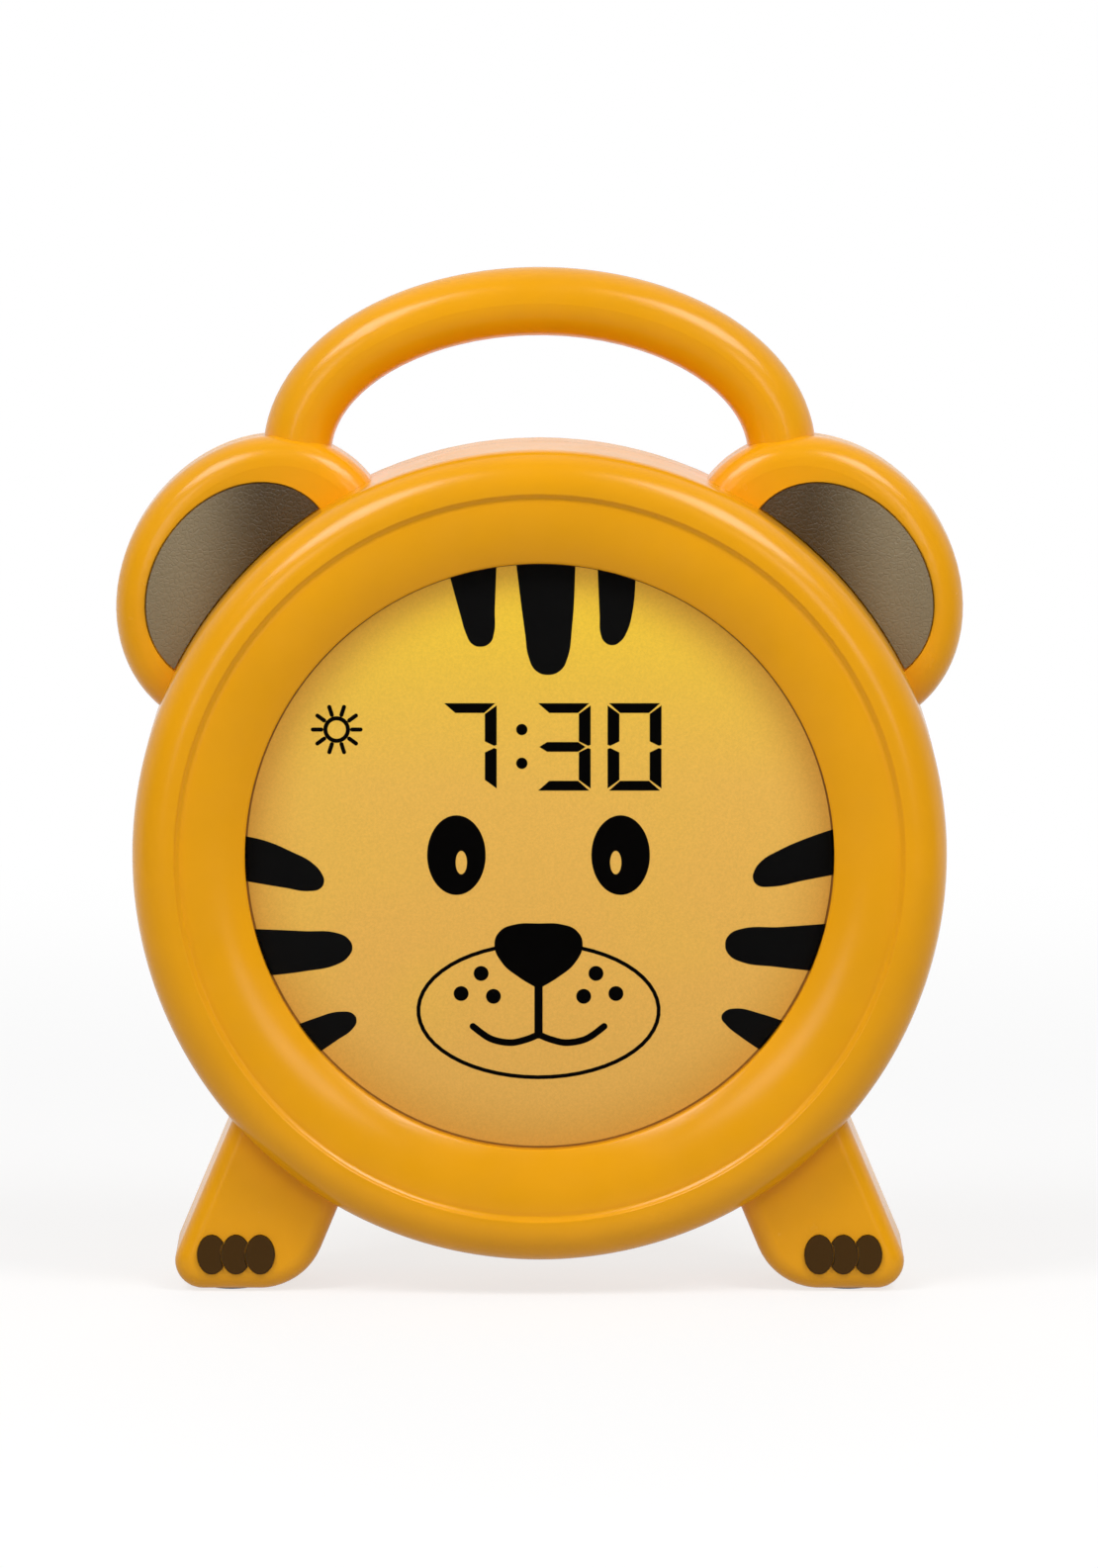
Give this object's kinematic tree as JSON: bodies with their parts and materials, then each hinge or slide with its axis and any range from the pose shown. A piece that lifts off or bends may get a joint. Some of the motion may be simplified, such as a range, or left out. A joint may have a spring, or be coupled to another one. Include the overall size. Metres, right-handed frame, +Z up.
{
  "type": "kids alarm clock with night light",
  "caption": "Round children's alarm clock with a lit animal face display, two ears, a tube handle on top, two slanted legs and a rear panel with buttons and battery bay.",
  "frame": {"origin": "on the table under the middle of the clock", "axes": "+Z up, -Y towards the display's viewer, +X to the viewer's right"},
  "size_m": [0.1656, 0.0544, 0.1997],
  "materials": {
    "case_plastic": "glossy moulded plastic",
    "ear_brown": "fine leather-like grain",
    "toe_brown": "satin",
    "dark_rubber": "matt",
    "screw_steel": "zinc plated",
    "clear_window": "clear, polished",
    "printed_film": "translucent print",
    "display_glass": "polarised glass",
    "clear_guide": "clear acrylic",
    "grey_rubber": "matt",
    "white_plastic": "satin moulded plastic",
    "board_green": "solder mask",
    "lamp_white": "moulded resin",
    "chip_black": "moulded resin",
    "plated_steel": "plated sheet",
    "cone_paper": "pressed paper",
    "magnet_ferrite": "ground ferrite",
    "socket_black": "moulded plastic",
    "cell_wrap": "printed wrap",
    "contact_nickel": "nickel plated",
    "button_brown": "satin"
  },
  "bodies": {
    "case": {"front_shell": "case_plastic", "rear_shell": "case_plastic", "face_ring": "case_plastic", "ear_inlay_left": "ear_brown", "ear_inlay_right": "ear_brown", "toe_pads_left": "toe_brown", "toe_pads_right": "toe_brown", "rubber_feet": "dark_rubber", "case_screws": "screw_steel", "screen_lens": "clear_window", "face_film": "printed_film", "lcd_panel": "display_glass", "light_guide": "clear_guide", "zebra_strip": "grey_rubber", "display_frame": "white_plastic", "frame_screws": "screw_steel", "main_board": "board_green", "board_screws": "screw_steel", "backlight_lamps": "lamp_white", "board_parts": "chip_black", "speaker_basket": "plated_steel", "speaker_cone": "cone_paper", "speaker_magnet": "magnet_ferrite", "speaker_screws": "screw_steel", "tact_switches": "chip_black", "button_board": "board_green", "button_board_screws": "screw_steel", "slide_case": "plated_steel", "power_socket": "socket_black", "socket_nut": "plated_steel", "aa_cells": "cell_wrap", "battery_plates": "contact_nickel", "battery_springs": "contact_nickel"},
    "light_button": {"light_button": "button_brown"},
    "alarm_button": {"alarm_button": "button_brown"},
    "clock_button": {"clock_button": "button_brown"},
    "snooze_button": {"snooze_button": "button_brown"},
    "up_button": {"up_button": "button_brown"},
    "down_button": {"down_button": "button_brown"},
    "alarm_switch": {"alarm_switch": "button_brown"},
    "battery_door": {"battery_door": "case_plastic", "door_screw": "screw_steel"}
  },
  "joints": [
    {"name": "light_press", "type": "slide", "parent": "case", "child": "light_button", "axis": [0, -1, 0], "range_m": [0, 0.0006], "stiffness_N_per_m": 2500, "springref_m": -0.0002},
    {"name": "alarm_press", "type": "slide", "parent": "case", "child": "alarm_button", "axis": [0, -1, 0], "range_m": [0, 0.0006], "stiffness_N_per_m": 2500, "springref_m": -0.0002},
    {"name": "clock_press", "type": "slide", "parent": "case", "child": "clock_button", "axis": [0, -1, 0], "range_m": [0, 0.0006], "stiffness_N_per_m": 2500, "springref_m": -0.0002},
    {"name": "snooze_press", "type": "slide", "parent": "case", "child": "snooze_button", "axis": [0, -1, 0], "range_m": [0, 0.0006], "stiffness_N_per_m": 2500, "springref_m": -0.0002},
    {"name": "up_press", "type": "slide", "parent": "case", "child": "up_button", "axis": [0, -1, 0], "range_m": [0, 0.0006], "stiffness_N_per_m": 2500, "springref_m": -0.0002},
    {"name": "down_press", "type": "slide", "parent": "case", "child": "down_button", "axis": [0, -1, 0], "range_m": [0, 0.0006], "stiffness_N_per_m": 2500, "springref_m": -0.0002},
    {"name": "alarm_slide", "type": "slide", "parent": "case", "child": "alarm_switch", "axis": [1, 0, 0], "range_m": [0, 0.004]},
    {"name": "door_tilt", "type": "hinge", "parent": "case", "child": "battery_door", "pos_m": [0, 0.0256, 0.0365], "axis": [-1, 0, 0], "range_deg": [0, 60]}
  ]
}
